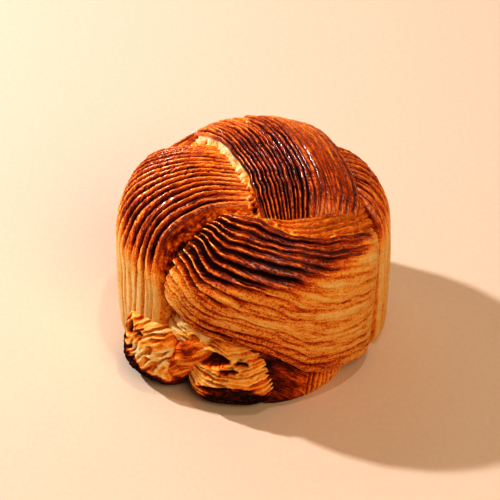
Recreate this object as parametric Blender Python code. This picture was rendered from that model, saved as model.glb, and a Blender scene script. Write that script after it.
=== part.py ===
"""A cruffin: strands of laminated dough, cut side up, knotted into a ball and baked in a round mould.

Sizes are in metres, +Z is up, and the origin is the middle of the foot that it stands on.
Places on the crust are given on its unrolled skin, a flat chart: the middle of the top is (0, 0),
a point's distance from there is the length of the skin down to it, +X is right and +Y is the back.
"""

import math

import bmesh
import bpy
from mathutils import Vector, noise

MM = 0.001

# The loaf without its strands: a shallow cap, a round shoulder, the mould's wall and a soft foot.
CAP_RADIUS = 60 * MM
CAP_ANGLE = math.radians(30)
SHOULDER_RADIUS = 14 * MM
WALL_HEIGHT = 32 * MM
FOOT_RADIUS = 5 * MM
LOAF_RADIUS = CAP_RADIUS * math.sin(CAP_ANGLE) + SHOULDER_RADIUS * (1 - math.sin(CAP_ANGLE))
SHOULDER_DROP = CAP_RADIUS * (1 - math.cos(CAP_ANGLE)) + SHOULDER_RADIUS * math.cos(CAP_ANGLE)
LOAF_HEIGHT = SHOULDER_DROP + WALL_HEIGHT + FOOT_RADIUS

CAP_END = CAP_RADIUS * CAP_ANGLE
SHOULDER_END = CAP_END + SHOULDER_RADIUS * (math.pi / 2 - CAP_ANGLE)
WALL_END = SHOULDER_END + WALL_HEIGHT
FOOT_END = WALL_END + FOOT_RADIUS * math.pi / 2

# The dough under the strands, and the strands' buried undersides, lie this far above the skin.
CORE_LIFT = -2.0 * MM
ROOT_LIFT = -6.0 * MM
FLANK_LIFT = -2.5 * MM
BELOW_FLOOR = -2.0 * MM

# Depth of the grooves between layers where the crust rose freely, and the share lost against the mould.
GROOVE_DEPTH = 0.9 * MM
PRESSED_FLAT = 0.68

# The cut ends: depth of a layer's valley and of a hole, as shares of how far the end reaches out.
LAYER_RELIEF = 0.07
HOLE_DEPTH = 0.18
SIDES = 36
BLUNTNESS = 0.55
SQUARENESS = 3.0

CRUST_COLOUR = (0.46, 0.19, 0.05, 1)
CRUST_ROUGHNESS = 0.45
SHARP_EDGE = math.radians(28)


def loaf_profile(skin):
    """Radius, height and outward direction (radial, upward) of the loaf, that far down its skin."""
    if skin < CAP_END:
        lean = skin / CAP_RADIUS
        radius = CAP_RADIUS * math.sin(lean)
        height = LOAF_HEIGHT - CAP_RADIUS * (1 - math.cos(lean))
    elif skin < SHOULDER_END:
        lean = CAP_ANGLE + (skin - CAP_END) / SHOULDER_RADIUS
        radius = LOAF_RADIUS - SHOULDER_RADIUS * (1 - math.sin(lean))
        height = FOOT_RADIUS + WALL_HEIGHT + SHOULDER_RADIUS * math.cos(lean)
    elif skin < WALL_END:
        lean = math.pi / 2
        radius = LOAF_RADIUS
        height = FOOT_RADIUS + WALL_END - skin
    else:
        lean = math.pi / 2 + min(skin - WALL_END, FOOT_END - WALL_END) / FOOT_RADIUS
        radius = LOAF_RADIUS - FOOT_RADIUS * (1 - math.sin(lean)) - max(skin - FOOT_END, 0)
        height = FOOT_RADIUS * (1 + math.cos(lean))
    return radius, height, math.sin(lean), math.cos(lean)


def on_loaf(chart, lift):
    """The point that far above the loaf's skin, at a place on the chart."""
    skin = max(chart.length, 1e-6)
    across, along = chart.x / skin, chart.y / skin
    radius, height, outward, upward = loaf_profile(skin)
    reach = radius + lift * outward
    return Vector((reach * across, reach * along, height + lift * upward))


def smooth(low, high, value):
    """0 below low, 1 above high, and an even S between."""
    share = min(max((value - low) / (high - low), 0), 1)
    return share * share * (3 - 2 * share)


def along_route(route, share):
    """A point on the smooth curve through a route's points, share of the way along it."""
    place = share * (len(route) - 1)
    start = min(int(place), len(route) - 2)
    t = place - start
    before, a, b, after = (Vector(route[min(max(start + k, 0), len(route) - 1)]) for k in (-1, 0, 1, 2))
    curve = 2 * a + t * (b - before)
    curve += t * t * (2 * before - 5 * a + 4 * b - after)
    curve += t * t * t * (3 * a - before - 3 * b + after)
    return curve / 2


class Strand:
    """One length of laminated dough lying on the loaf, its layers on edge between two lines on the chart.

    near and far are those lines, in mm; lift is the height of the strand's shoulders above the skin,
    in mm, at evenly spaced places along it, and crown is how much more its middle stands up.
    flanks are how far its torn sides spread beyond the lines, layers is how many dough layers it shows,
    and starts and ends are how much of its length it takes to swell up and to sink away again.
    """

    def __init__(self, layers, near, far, lift, crown, steps, flanks=(2.5, 2.5), starts=0.3, ends=0.3):
        self.layers = layers
        self.near = near
        self.far = far
        self.lift = [(value, 0) for value in lift]
        self.crown = crown
        self.steps = steps
        self.flanks = flanks
        self.starts = starts
        self.ends = ends

    def chart(self, along, across, spread=0):
        near = along_route(self.near, along)
        far = along_route(self.far, along)
        return (near.lerp(far, across) + (far - near).normalized() * spread) * MM

    def height(self, along, across):
        swell = max(1 - abs(2 * across - 1) ** 2.4, 0) ** 0.6
        share = swell * smooth(-0.1, self.starts, along) * smooth(-0.1, self.ends, 1 - along)
        return (along_route(self.lift, along)[0] + self.crown * share) * MM


TOP_LOBE = Strand(
    layers=14,
    near=[(-38, 46), (-28, 34), (-17.5, 20), (-9, 8.5), (-2.8, -3.5), (1.0, -14), (4, -23)],
    far=[(4, 58), (14, 45), (19, 31), (24, 16), (29, 2), (31, -8.5), (30.5, -18)],
    lift=[-1.0, 1.4, 3.4, 4.4, 4.3, 3.2, -1.5],
    crown=2.4,
    steps=15,
    flanks=(3.8, 2.0),
)
LEFT_LOBE = Strand(
    layers=13,
    near=[(8, -12), (-2.5, -14.5), (-13, -16), (-24, -21), (-30, -28), (-35, -36.5), (-45, -43.5), (-60, -46)],
    far=[(4, 14), (-9, 14), (-23, 18), (-36, 24), (-49, 29), (-61, 31), (-73, 30), (-83, 26)],
    lift=[-2.0, 0.8, 2.6, 2.8, 2.2, 2.4, 2.6, 2.0],
    crown=1.9,
    steps=17,
    flanks=(5.5, 2.0),
    ends=0.1,
)
FRONT_LOBE = Strand(
    layers=16,
    near=[(-14, -13), (-7.5, -18), (1, -20.5), (11, -25), (22, -23.5), (34, -16), (42, -9)],
    far=[(-39, -33), (-31, -40.5), (-22, -53), (1, -64), (34, -67.5), (62, -47), (76, -26)],
    lift=[-1.5, 2.6, 3.1, 3.3, 3.4, 3.4, 0.6],
    crown=1.4,
    steps=20,
    flanks=(5.0, 1.5),
)
RIGHT_LOBE = Strand(
    layers=12,
    near=[(18, -3), (30, -4), (37, -9), (47, -15), (62, -21), (80, -28)],
    far=[(12, 20), (24, 25), (37, 31), (49, 37), (61, 44), (73, 51)],
    lift=[-1.5, 1.6, 2.6, 2.7, 3.0, 2.4],
    crown=1.7,
    steps=14,
    flanks=(3.5, 1.5),
    ends=0.1,
)
BACK_LOBE = Strand(
    layers=15,
    near=[(35, 12), (24, 26), (6, 34), (-10, 35), (-26, 27), (-40, 17), (-54, 8)],
    far=[(77, 34), (54, 64), (14, 84), (-26, 80), (-57, 60), (-73, 36), (-76, 18)],
    lift=[-1.5, 1.4, 2.6, 3.0, 2.2, 0.9, -1.5],
    crown=1.4,
    steps=20,
    flanks=(3.5, 1.5),
)
FOOT_LOBE = Strand(
    layers=4,
    near=[(64, -44), (48, -60), (30, -65), (10, -65), (-6, -67)],
    far=[(64, -50), (55, -68), (33, -80), (9, -87), (-8, -88)],
    lift=[-1.5, 0.6, 2.2, 2.8, 1.0],
    crown=1.2,
    steps=10,
    flanks=(1.0, 1.0),
)
TORN_SEAM = Strand(
    layers=5,
    near=[(2, -21), (9.5, -25.5), (16, -27), (23, -25), (31, -20), (40, -12)],
    far=[(2, -17), (9.5, -19), (16.5, -17), (23, -13.5), (28, -9), (34, 0)],
    lift=[0.0, 1.2, 1.6, 1.8, 1.8, 1.0],
    crown=0.6,
    steps=10,
    flanks=(0.8, 0.8),
)


def groove_depth(chart, across):
    """Grooves are deep where the top baked freely and shallow where the mould pressed them."""
    pressed = smooth(42 * MM, 56 * MM, chart.length)
    inside = smooth(0, 0.06, across) * smooth(0, 0.06, 1 - across)
    return GROOVE_DEPTH * (1 - PRESSED_FLAT * pressed) * (0.4 + 0.6 * inside)


def layer_corners(layers):
    """Places across a strand: a valley and a raised lip of two corners for each layer."""
    corners = []
    for layer in range(layers):
        for place, raised in ((0.0, 0.0), (0.3, 1.0), (0.72, 0.86)):
            corners.append(((layer + place) / layers, raised))
    return corners + [(1.0, 0.0)]


def strand_section(strand, along):
    """The strand's closed outline at one place: the ridged top, then the two flanks and its root."""
    points = []
    wander = noise.noise(Vector((along * 5, strand.layers, 0))) * 0.006
    for across, raised in layer_corners(strand.layers):
        inner = 0 < across < 1
        chart = strand.chart(along, across + (wander if inner else 0))
        lift = strand.height(along, across) - (1 - raised) * groove_depth(chart, across)
        points.append(on_loaf(chart, lift))
    shoulder = strand.height(along, 0)
    near_flank, far_flank = strand.flanks
    for across, spread, lift in (
        (1, 0.7 * far_flank, 0.45 * shoulder),
        (1, far_flank, FLANK_LIFT),
        (0.93, 0, ROOT_LIFT),
        (0.5, 0, ROOT_LIFT),
        (0.07, 0, ROOT_LIFT),
        (0, -near_flank, FLANK_LIFT),
        (0, -0.7 * near_flank, 0.45 * shoulder),
    ):
        points.append(on_loaf(strand.chart(along, across, spread), lift))
    return points


def mesh_object(name, shape):
    """A named object in the scene from a bmesh, with its faces pointing out."""
    bmesh.ops.recalc_face_normals(shape, faces=shape.faces)
    mesh = bpy.data.meshes.new(name)
    shape.to_mesh(mesh)
    shape.free()
    item = bpy.data.objects.new(name, mesh)
    bpy.context.scene.collection.objects.link(item)
    return item


def make_strand(name, strand):
    """A sheet rolled into the strand's closed section, all along its route, and shut at both ends."""
    corners = len(strand_section(strand, 0))
    shape = bmesh.new()
    bmesh.ops.create_grid(shape, x_segments=corners, y_segments=strand.steps, size=1)
    rings = [strand_section(strand, step / strand.steps) for step in range(strand.steps + 1)]
    for vert in shape.verts:
        corner = round((vert.co.x + 1) / 2 * corners) % corners
        step = round((vert.co.y + 1) / 2 * strand.steps)
        vert.co = rings[step][corner]
    bmesh.ops.remove_doubles(shape, verts=shape.verts, dist=0.001 * MM)
    bmesh.ops.holes_fill(shape, edges=shape.edges, sides=0)
    bmesh.ops.triangulate(shape, faces=[face for face in shape.faces if len(face.verts) > 4])
    return mesh_object(name, shape)


def make_core():
    """The dough under the strands: the loaf's profile turned about its axis, standing on its foot."""
    stops = [CAP_END * share / 3 for share in (1, 2, 3)]
    stops += [CAP_END + (SHOULDER_END - CAP_END) * share / 3 for share in (1, 2, 3)]
    stops += [SHOULDER_END + WALL_HEIGHT * share / 3 for share in (1, 2, 3)]
    stops += [WALL_END + (FOOT_END - WALL_END) * share / 2 for share in (1, 2)]
    outline = [on_loaf(Vector((skin, 0)), CORE_LIFT) for skin in stops]
    shape = bmesh.new()
    verts = [shape.verts.new((0, 0, LOAF_HEIGHT + CORE_LIFT))]
    verts += [shape.verts.new(place) for place in outline]
    verts += [shape.verts.new((radius, 0, BELOW_FLOOR)) for radius in (LOAF_RADIUS - FOOT_RADIUS, 0)]
    edges = [shape.edges.new(pair) for pair in zip(verts, verts[1:])]
    bmesh.ops.spin(shape, geom=verts + edges, axis=(0, 0, 1), cent=(0, 0, 0), angle=2 * math.pi,
                   steps=28, use_merge=True)
    bmesh.ops.remove_doubles(shape, verts=shape.verts, dist=0.01 * MM)
    return mesh_object("core", shape)


class Stub:
    """An oval lump at the foot: a strand's cut end, a fold between two of them, or torn crumb.

    middle and its half sizes reach, width and height are in mm, facing, tilt and lean in degrees: it faces
    outwards that way round, tipped up by tilt, its layers leaning up to the right by lean. uneven is how
    lumpy it is, and each hole is a dent in its face: place across, place up, half width and half height,
    as shares of its half sizes.
    """

    def __init__(self, middle, facing, tilt, lean, reach, width, height, layers, uneven, holes=()):
        self.middle = Vector(middle) * MM
        self.facing = math.radians(facing)
        self.tilt = math.radians(tilt)
        self.lean = math.radians(lean)
        self.reach = reach * MM
        self.width = width * MM
        self.height = height * MM
        self.layers = layers
        self.uneven = uneven
        self.holes = holes


LEFT_TAIL = Stub(
    middle=(-22.5, -19.5, 9.5),
    facing=222,
    tilt=4,
    lean=26,
    reach=16,
    width=13.5,
    height=12.5,
    layers=7,
    uneven=0.15,
    holes=((-0.20, 0.30, 0.22, 0.10), (0.30, -0.10, 0.24, 0.10), (-0.30, -0.40, 0.26, 0.12)),
)
FRONT_TAIL = Stub(
    middle=(-5, -26, 9),
    facing=262,
    tilt=5,
    lean=-4,
    reach=13.8,
    width=14,
    height=12.5,
    layers=8,
    uneven=0.08,
    holes=((-0.10, 0.60, 0.30, 0.20), (0.42, 0.50, 0.18, 0.07), (0.30, 0.05, 0.30, 0.07)),
)
FOLD = Stub(
    middle=(-18, -27.5, 10),
    facing=240,
    tilt=0,
    lean=-32,
    reach=7,
    width=4.2,
    height=12,
    layers=4,
    uneven=0.06,
)
CRUMB = Stub(
    middle=(-16, -24, 18),
    facing=236,
    tilt=12,
    lean=-35,
    reach=7.8,
    width=10,
    height=8,
    layers=6,
    uneven=0.22,
    holes=((0.30, 0.10, 0.20, 0.16), (-0.30, 0.30, 0.16, 0.14)),
)


def make_stub(name, stub):
    """A ball drawn out along the way it faces, blunt in front, where its layers and holes show."""
    bands = 3 * stub.layers
    shape = bmesh.new()
    bmesh.ops.create_uvsphere(shape, u_segments=SIDES, v_segments=bands, radius=1)
    outward = Vector((math.cos(stub.facing) * math.cos(stub.tilt),
                      math.sin(stub.facing) * math.cos(stub.tilt),
                      math.sin(stub.tilt)))
    level = Vector((-math.sin(stub.facing), math.cos(stub.facing), 0))
    sideways = level * math.cos(stub.lean) + outward.cross(level) * math.sin(stub.lean)
    upward = outward.cross(sideways)
    for vert in shape.verts:
        side, ahead, rise = vert.co
        band = round(math.acos(max(min(rise, 1), -1)) / math.pi * bands)
        front = smooth(0.1, 0.7, ahead)
        rough = stub.uneven * noise.noise(Vector((side, rise, ahead)) * 2.3 + stub.middle * 900)
        valley = 1 if band % 3 == 0 else 0
        hole = 0
        for across, up, half_width, half_height in stub.holes:
            off = math.hypot((side - across) / half_width, (rise - up) / half_height)
            hole = max(hole, smooth(1.3, 0.5, off))
        blunt = math.copysign(abs(ahead) ** BLUNTNESS, ahead)
        corner = max(abs(side) ** SQUARENESS + abs(rise) ** SQUARENESS, 1e-9) ** (1 / SQUARENESS)
        square = math.hypot(side, rise) / corner
        blunt -= (LAYER_RELIEF * valley + rough + HOLE_DEPTH * hole) * front
        vert.co = (stub.middle + outward * stub.reach * blunt
                   + sideways * stub.width * side * square * (1 + rough)
                   + upward * stub.height * rise * square * (1 + rough))
    return mesh_object(name, shape)


def join_all(pieces, name):
    """One solid from pieces that overlap: a union, then everything under the floor cut off."""
    body, others = pieces[0], bpy.data.collections.new("strands")
    bpy.context.scene.collection.children.link(others)
    for piece in pieces[1:]:
        bpy.context.scene.collection.objects.unlink(piece)
        others.objects.link(piece)
    union = body.modifiers.new("union", "BOOLEAN")
    union.operation = "UNION"
    union.operand_type = "COLLECTION"
    union.collection = others
    union.solver = "MANIFOLD"
    graph = bpy.context.evaluated_depsgraph_get()
    joined = bmesh.new()
    joined.from_object(body, graph)
    everything = joined.verts[:] + joined.edges[:] + joined.faces[:]
    cut = bmesh.ops.bisect_plane(joined, geom=everything, plane_co=(0, 0, 0), plane_no=(0, 0, -1),
                                 clear_outer=True)
    rim = [item for item in cut["geom_cut"] if isinstance(item, bmesh.types.BMEdge)]
    bmesh.ops.triangle_fill(joined, edges=rim, use_beauty=True)
    for piece in pieces:
        bpy.data.objects.remove(piece)
    bpy.data.collections.remove(others)
    return mesh_object(name, joined)


def crust_material():
    """Baked, butter-glazed crust."""
    crust = bpy.data.materials.new("crust")
    crust.use_nodes = True
    shader = crust.node_tree.nodes["Principled BSDF"]
    shader.inputs["Base Color"].default_value = CRUST_COLOUR
    shader.inputs["Roughness"].default_value = CRUST_ROUGHNESS
    shader.inputs["Metallic"].default_value = 0
    return crust


def main():
    for item in list(bpy.data.objects):
        bpy.data.objects.remove(item)
    strands = {"top": TOP_LOBE, "left": LEFT_LOBE, "front": FRONT_LOBE, "right": RIGHT_LOBE,
               "back": BACK_LOBE, "foot": FOOT_LOBE, "seam": TORN_SEAM}
    stubs = {"left_tail": LEFT_TAIL, "front_tail": FRONT_TAIL, "fold": FOLD, "crumb": CRUMB}
    pieces = [make_core()]
    pieces += [make_strand(name, strand) for name, strand in strands.items()]
    pieces += [make_stub(name, stub) for name, stub in stubs.items()]
    cruffin = join_all(pieces, "cruffin")
    cruffin.data.materials.append(crust_material())
    cruffin.data.shade_smooth()
    cruffin.data.set_sharp_from_angle(angle=SHARP_EDGE)


main()
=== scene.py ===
import math
from dataclasses import dataclass

import bmesh
import bpy
import numpy as np
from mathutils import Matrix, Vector, noise


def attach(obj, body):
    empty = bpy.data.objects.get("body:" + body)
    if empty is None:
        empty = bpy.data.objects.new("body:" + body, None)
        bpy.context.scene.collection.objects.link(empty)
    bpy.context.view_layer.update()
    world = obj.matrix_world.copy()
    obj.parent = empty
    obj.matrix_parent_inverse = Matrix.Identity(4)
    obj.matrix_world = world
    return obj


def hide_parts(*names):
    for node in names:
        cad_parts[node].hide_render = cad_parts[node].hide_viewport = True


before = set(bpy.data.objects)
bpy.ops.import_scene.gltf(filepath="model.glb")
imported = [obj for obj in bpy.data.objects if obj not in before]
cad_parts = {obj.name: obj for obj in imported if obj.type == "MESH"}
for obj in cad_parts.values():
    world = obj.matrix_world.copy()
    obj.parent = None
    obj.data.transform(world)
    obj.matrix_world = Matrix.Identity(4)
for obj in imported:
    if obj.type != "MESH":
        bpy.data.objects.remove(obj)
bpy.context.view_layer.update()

# The heart of the cruffin: plain dough, proved and baked in a straight ring, which shows only as
# torn crumb deep in the seams. Its outline, a shallow cap, a round shoulder, the ring's wall and a
# soft foot, is turned about the upright axis, and the strands are laid over its unrolled skin.
MM = 0.001
CAP_RADIUS = 60 * MM
CAP_ANGLE = math.radians(30)
SHOULDER_RADIUS = 14 * MM
WALL_HEIGHT = 32 * MM
FOOT_RADIUS = 5 * MM
LOAF_RADIUS = CAP_RADIUS * math.sin(CAP_ANGLE) + SHOULDER_RADIUS * (1 - math.sin(CAP_ANGLE))
SHOULDER_DROP = CAP_RADIUS * (1 - math.cos(CAP_ANGLE)) + SHOULDER_RADIUS * math.cos(CAP_ANGLE)
LOAF_HEIGHT = SHOULDER_DROP + WALL_HEIGHT + FOOT_RADIUS
CAP_END = CAP_RADIUS * CAP_ANGLE
SHOULDER_END = CAP_END + SHOULDER_RADIUS * (math.pi / 2 - CAP_ANGLE)
WALL_END = SHOULDER_END + WALL_HEIGHT
FOOT_END = WALL_END + FOOT_RADIUS * math.pi / 2
HEART_LIFT = -2.0 * MM
HEART_STEPS = 160
HEART_RINGS = 90
HEART_LUMP = 0.6 * MM
HEART_LUMP_SIZE = 2.2 * MM
SOLE_MARGIN = 2 * MM
CRUMB_BUMP = 0.4 * MM
BUTTER_IOR = 1.9


def on_loaf(chart, lift):
    """Points that far above the loaf's skin, from places on its unrolled skin, both as arrays.

    On the chart the middle of the top is (0, 0), +x is right, +y is the back, and a place's distance
    from the middle is the length of the skin down to it.
    """
    skin = np.maximum(np.hypot(chart[..., 0], chart[..., 1]), 1e-6)
    across, along = chart[..., 0] / skin, chart[..., 1] / skin
    parts = [skin < CAP_END, skin < SHOULDER_END, skin < WALL_END]
    upright = np.full_like(skin, math.pi / 2)
    on_foot = np.clip(skin - WALL_END, 0, FOOT_END - WALL_END)
    leans = [skin / CAP_RADIUS, CAP_ANGLE + (skin - CAP_END) / SHOULDER_RADIUS, upright]
    lean = np.select(parts, leans, math.pi / 2 + on_foot / FOOT_RADIUS)
    past_foot = np.maximum(skin - FOOT_END, 0)
    radii = [CAP_RADIUS * np.sin(lean), LOAF_RADIUS - SHOULDER_RADIUS * (1 - np.sin(lean)),
             np.full_like(skin, LOAF_RADIUS)]
    radius = np.select(parts, radii, LOAF_RADIUS - FOOT_RADIUS * (1 - np.sin(lean)) - past_foot)
    heights = [LOAF_HEIGHT - CAP_RADIUS * (1 - np.cos(lean)),
               FOOT_RADIUS + WALL_HEIGHT + SHOULDER_RADIUS * np.cos(lean),
               FOOT_RADIUS + WALL_END - skin]
    height = np.select(parts, heights, FOOT_RADIUS * (1 + np.cos(lean)))
    reach = radius + lift * np.sin(lean)
    return np.stack([reach * across, reach * along, height + lift * np.cos(lean)], -1)


def smooth(low, high, value):
    """0 at low, 1 at high, and an even S between."""
    share = np.clip((value - low) / (high - low), 0, 1)
    return share * share * (3 - 2 * share)


def grain(points, size, seed):
    """Smooth noise between about -1 and 1 at each of an array of points.

    size is how long its lumps are, as one number or as one for each axis.
    """
    flat = (np.asarray(points).reshape(-1, points.shape[-1]) / size).tolist()
    if points.shape[-1] == 2:
        values = [noise.noise(Vector((x, y, seed))) for x, y in flat]
    else:
        values = [noise.noise(Vector((x + seed, y, z))) for x, y, z in flat]
    return np.array(values).reshape(points.shape[:-1])


class Wire:
    """A shader socket that can be worked with as a number."""

    def __init__(self, socket):
        self.socket = socket

    def node(self, kind, settings, values, output=0):
        """A new node in the same material, with its settings made first and its sockets fed next."""
        tree = self.socket.id_data
        made = tree.nodes.new(kind)
        for name, value in settings.items():
            if name == "stops":
                for _ in value[2:]:
                    made.color_ramp.elements.new(0.5)
                for stop, (place, colour) in zip(made.color_ramp.elements, value):
                    stop.position = place
                    stop.color = (*colour, 1)
            else:
                setattr(made, name, value)
        for name, value in values.items():
            if isinstance(value, Wire):
                tree.links.new(value.socket, made.inputs[name])
            else:
                made.inputs[name].default_value = value
        return Wire(made.outputs[output])

    def maths(self, operation, first, second):
        return self.node("ShaderNodeMath", {"operation": operation}, {0: first, 1: second})

    def __add__(self, other):
        return self.maths("ADD", self, other)

    __radd__ = __add__

    def __sub__(self, other):
        return self.maths("SUBTRACT", self, other)

    def __rsub__(self, other):
        return self.maths("SUBTRACT", other, self)

    def __mul__(self, other):
        return self.maths("MULTIPLY", self, other)

    __rmul__ = __mul__

    def between(self, low, high):
        """0 where the value is low, 1 where it is high, eased."""
        return self.node("ShaderNodeMapRange", {"interpolation_type": "SMOOTHSTEP"},
                         {"Value": self, "From Min": low, "From Max": high})

    def mixed(self, share, other):
        """This colour turned towards another by a share."""
        return self.node("ShaderNodeMix", {"data_type": "RGBA"}, {"Factor": share, "A": self, "B": other}, 2)

    def noise(self, scale, detail=3, roughness=0.55):
        """Smooth noise round a half, with that many lumps a metre."""
        return self.node("ShaderNodeTexNoise", {},
                         {"Vector": self, "Scale": scale, "Detail": detail, "Roughness": roughness})

    def stretched(self, scale):
        """A place made longer or shorter along each of its axes."""
        return self.node("ShaderNodeMapping", {}, {"Vector": self, "Scale": scale})


def start_material(name):
    """A new material, its shader, and the place on the piece."""
    material = bpy.data.materials.new(name)
    material.use_nodes = True
    tree = material.node_tree
    shader = tree.nodes["Principled BSDF"]
    place = Wire(tree.nodes.new("ShaderNodeTexCoord").outputs["Object"])
    return material, shader, place


def feed(shader, name, wire):
    shader.id_data.links.new(wire.socket, shader.inputs[name])


# Baked dough goes from cream through gold, orange and red-brown to near black as it darkens.
BAKED_COLOURS = [
    (0.00, (0.97, 0.78, 0.46)),
    (0.16, (0.97, 0.60, 0.17)),
    (0.32, (0.95, 0.42, 0.045)),
    (0.48, (0.82, 0.22, 0.008)),
    (0.64, (0.50, 0.070, 0.003)),
    (0.80, (0.20, 0.018, 0.002)),
    (1.00, (0.020, 0.003, 0.001)),
]


def crust_material():
    """Butter-glazed crust, dark between the ridges, streaked along its layers and torn to crumb.

    Each piece says at every point how near a ridge's crest it is, how dark its crust is, which is its
    bake with painted shade in the grooves and holes and painted highlight on the crests' edges, how much
    of it is torn dough and how dark that is, and how pale the ring kept it.
    """
    material, shader, place = start_material("crust")
    lie = place.node("ShaderNodeUVMap", {"uv_map": "lie"}, {})

    def value(name):
        return place.node("ShaderNodeAttribute", {"attribute_name": name}, {}, 2)

    crest, bake, torn, pale = value("crest"), value("bake"), value("torn"), value("pale")
    lumps = place.noise(420, 4)
    specks = place.noise(1700, 2)
    pores = place.noise(3600, 2, 0.7)
    streaks = lie.stretched((0.5, 7, 1)).noise(3.0, 4, 0.6)
    bands = lie.stretched((0.22, 1.9, 1)).noise(3.0, 3, 0.5)
    threads = lie.stretched((0.9, 10, 1)).noise(3.0, 3, 0.6)
    fibres = lie.stretched((2.2, 5, 1)).noise(4.0, 4, 0.65)

    # How dark the crust is, with freckles, pale flecks and small burnt pits, and the crumb's own dark.
    # The pale flecks on the crests are partly painted glints.
    dark = bake + (streaks - 0.5) * (1.0 - pale * 0.45) + (lumps - 0.5) * 0.35
    dark = dark + (bands - 0.5) * pale * 0.8
    freckles = specks.between(0.50, 0.62) * 0.12 * crest
    flecks_and_glints = pores.between(0.50, 0.60) * 0.13 * crest
    pits = place.noise(1900, 1).between(0.47, 0.36) * pale * 0.19
    dark = dark + freckles + pits - flecks_and_glints
    crust = dark.node("ShaderNodeValToRGB", {"stops": BAKED_COLOURS}, {"Fac": dark})
    crust = crust.mixed(dark.between(0.62, 0.25) * pale * 0.35, (0.83, 0.50, 0.15, 1))
    raw = value("crumb") + (fibres - 0.5) * 0.9 + (lumps - 0.5) * 0.5 + (specks - 0.5) * 0.35
    inside = raw.node("ShaderNodeValToRGB", {"stops": BAKED_COLOURS}, {"Fac": raw})
    feed(shader, "Base Color", crust.mixed(torn, inside))

    # The butter glaze lies on the crests, in patches, and leaves torn dough and the pressed wall dull.
    glaze = crest.between(0.45, 0.85) * (1 - torn) * (1 - pale * 0.85)
    patches = lumps.between(0.36, 0.58)
    shine = specks.between(0.47, 0.58)
    feed(shader, "Roughness", 0.90 - glaze * (0.25 + shine * 0.20))
    shader.inputs["Specular IOR Level"].default_value = 0.1
    shader.inputs["Specular Tint"].default_value = (1.0, 0.80, 0.68, 1)
    feed(shader, "Coat Weight", glaze * (shine * 0.45 + 0.35) * (patches * 0.4 + 0.6))
    shader.inputs["Coat Roughness"].default_value = 0.25
    shader.inputs["Coat IOR"].default_value = BUTTER_IOR
    shader.inputs["Subsurface Weight"].default_value = 0.06
    shader.inputs["Subsurface Radius"].default_value = (1.0, 0.35, 0.1)
    shader.inputs["Subsurface Scale"].default_value = 0.8 * MM

    # Threads along the layers, pores and specks, too fine for the mesh.
    relief = threads * (0.8 - pale * 0.5) * (1 - torn) + pores * (0.4 + pale * 0.6) + specks * 0.8
    relief = relief * (1.0 - glaze * 0.5) + fibres * torn * 1.5
    bump = {"Height": relief, "Distance": CRUMB_BUMP, "Strength": 1.0}
    feed(shader, "Normal", relief.node("ShaderNodeBump", {}, bump))
    return material


crust = crust_material()


def fill_values(mesh, values):
    """Gives each point of a mesh its values, each kept under its name."""
    for name, numbers in values.items():
        mesh.attributes.new(name, "FLOAT", "POINT").data.foreach_set("value", numbers.ravel())


def places_of(mesh):
    """The mesh's points as rows of x, y and z."""
    flat = np.empty(len(mesh.vertices) * 3)
    mesh.vertices.foreach_get("co", flat)
    return flat.reshape(-1, 3)


def mesh_from(shape):
    """A mesh with the bmesh's shape, which is freed."""
    mesh = bpy.data.meshes.new("shape")
    shape.to_mesh(mesh)
    shape.free()
    return mesh


def piece_from(name, mesh, material):
    """A finished piece of the cruffin, smooth, in its place and on its body."""
    mesh.name = name
    mesh.materials.append(material)
    mesh.shade_smooth()
    piece = bpy.data.objects.new(name, mesh)
    bpy.context.scene.collection.objects.link(piece)
    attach(piece, "root")
    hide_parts("cruffin")
    return piece


skins = np.linspace(0, FOOT_END, HEART_RINGS)
outline = on_loaf(np.stack([skins, 0 * skins], -1), np.full_like(skins, HEART_LIFT))
outline = outline[outline[:, 0] > 0.5 * MM]
shape = bmesh.new()
axis_top = shape.verts.new((0, 0, outline[0, 2]))
rim = [axis_top] + [shape.verts.new(place) for place in outline.tolist()]
rim += [shape.verts.new((radius, 0, 0)) for radius in (LOAF_RADIUS - FOOT_RADIUS, 0)]
lines = [shape.edges.new(pair) for pair in zip(rim, rim[1:])]
bmesh.ops.spin(shape, geom=rim + lines, axis=(0, 0, 1), cent=(0, 0, 0), angle=2 * math.pi,
               steps=HEART_STEPS, use_merge=True)
bmesh.ops.remove_doubles(shape, verts=shape.verts, dist=0.01 * MM)
bmesh.ops.recalc_face_normals(shape, faces=shape.faces)
heart_mesh = mesh_from(shape)
points = places_of(heart_mesh)
bulge = HEART_LUMP * grain(points, HEART_LUMP_SIZE, 3.0) * (points[:, 2] > SOLE_MARGIN)
points[:, :2] *= 1 + (bulge / LOAF_RADIUS)[:, None]
points[:, 2] += bulge
heart_mesh.vertices.foreach_set("co", points.ravel())
ones = np.ones(len(points))
torn_dough = {"crest": ones, "bake": 0.5 * ones, "torn": ones, "pale": 0 * ones, "crumb": 0.5 * ones}
fill_values(heart_mesh, torn_dough)
heart_mesh.uv_layers.new(name="lie")
piece_from("heart", heart_mesh, crust)


# The strand over the top: a length of laminated dough laid cut side up from the back left to the
# front right. Its twenty layers stand as ridges with deep grooves on the left, nearly black partly
# as painted shade, and rise together in a smooth glazed dome on the right. Its left side is torn down
# to pale crumb.

# Where a section has its lines of points: across a layer, down a torn side, and under the strand.
LAYER_STOPS = (0.0, 0.04, 0.10, 0.18, 0.27, 0.37, 0.47, 0.57, 0.67, 0.77, 0.87, 0.95)
FLANK_STOPS = tuple((step + 1) / 20 for step in range(20))
ROOT_STOPS = (0.93, 0.5, 0.07)
# Heights above the loaf's skin of a torn side's foot and of the buried underside, in mm.
FLANK_LIFT = -2.5
ROOT_LIFT = -6.0
# The least that the outermost lips stand up, as a share of a ridge.
LIP = 0.7
# Cut off this far above the heart's flat sole, so that one face alone lies on the table.
STRAND_SOLE = 0.1 * MM
# The ring pressed the layers flat between these lengths down the skin, in mm, down to these grooves.
PRESSED_FROM, PRESSED_TO = 38, 48
PRESSED_SHARE, PRESSED_DEEPEST, LEAST_GROOVE = 0.42, 0.58, 0.05
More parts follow.
